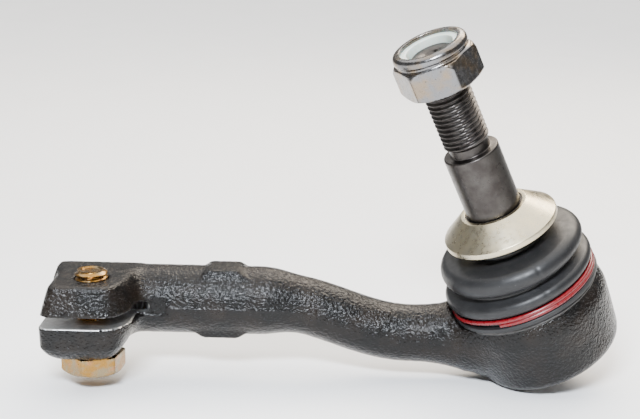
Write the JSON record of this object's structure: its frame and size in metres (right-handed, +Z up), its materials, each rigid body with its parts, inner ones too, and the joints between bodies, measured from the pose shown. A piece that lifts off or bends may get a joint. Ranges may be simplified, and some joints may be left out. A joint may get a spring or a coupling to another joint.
{
  "type": "tie rod end",
  "caption": "Steering tie rod end: forged arm with split threaded clamp and bolt, and a booted ball joint whose tilting stud carries a conical collar and a self-locking nut.",
  "frame": {"origin": "centre of the mouth of the threaded clamp bore, where the inner rod screws in", "axes": "+X along the shank from the bore's mouth to the ball, +Z up along the clamp bolt from its head to its thread end, and the clamp's ears reach towards -Y"},
  "size_m": [0.1713, 0.0531, 0.1096],
  "materials": {
    "black_forging": "semi-gloss black paint over rough forged steel",
    "yellow_zinc": "yellow zinc plated steel",
    "stud_steel": "dark ground steel, lightly oiled",
    "turned_steel": "turned steel with fine lathe marks",
    "bright_zinc": "bright zinc plated steel",
    "white_nylon": "smooth translucent white nylon",
    "black_rubber": "moulded black rubber, soft satin",
    "red_wire": "glossy red coated spring wire",
    "spring_steel": "plain spring steel",
    "seat_plastic": "off-white acetal",
    "dark_plastic": "hard black plastic",
    "dark_steel": "black coated sheet steel"
  },
  "bodies": {
    "housing": {"forged_body": "black_forging", "cover_plate": "dark_steel", "preload_spring": "spring_steel", "boot_base_ring": "red_wire"},
    "bolt": {"clamp_bolt": "yellow_zinc"},
    "seat": {"seat_cup": "seat_plastic", "seat_ring": "seat_plastic", "dust_boot": "black_rubber"},
    "boot_neck": {"boot_neck_ring": "spring_steel", "boot_neck_bush": "dark_plastic"},
    "stud": {"ball_stud": "stud_steel", "stud_collar": "turned_steel"},
    "nut_carrier": {"nut_insert": "white_nylon"},
    "nut": {"lock_nut": "bright_zinc"}
  },
  "joints": [
    {"name": "clamp_bolt_turn", "type": "hinge", "parent": "housing", "child": "bolt", "pos_m": [0.012, -0.0138, 0], "axis": [0, 0, 1], "range_deg": [-720, 0]},
    {"name": "tilt_direction", "type": "hinge", "parent": "housing", "child": "seat", "pos_m": [0.1448, 0, -0.001], "axis": [-0.414, -0.2011, 0.8878], "continuous": true},
    {"name": "stud_tilt", "type": "hinge", "parent": "seat", "child": "boot_neck", "pos_m": [0.1448, 0, -0.001], "axis": [0.0895, 0.9616, 0.2595], "range_deg": [-24, 20], "deforming": ["dust_boot"]},
    {"name": "stud_spin", "type": "hinge", "parent": "boot_neck", "child": "stud", "pos_m": [0.1448, 0, -0.001], "axis": [-0.3821, -0.2075, 0.9005], "continuous": true},
    {"name": "nut_travel", "type": "slide", "parent": "stud", "child": "nut_carrier", "axis": [-0.3821, -0.2075, 0.9005], "range_m": [-0.0181, 0.0091]},
    {"name": "nut_turn", "type": "hinge", "parent": "nut_carrier", "child": "nut", "pos_m": [0.1448, 0, -0.001], "axis": [-0.3821, -0.2075, 0.9005], "range_deg": [-4320, 2160]}
  ],
  "couplings": [
    {"joint": "nut_travel", "follows": "nut_turn", "m_per_rad": 0.00023873}
  ]
}
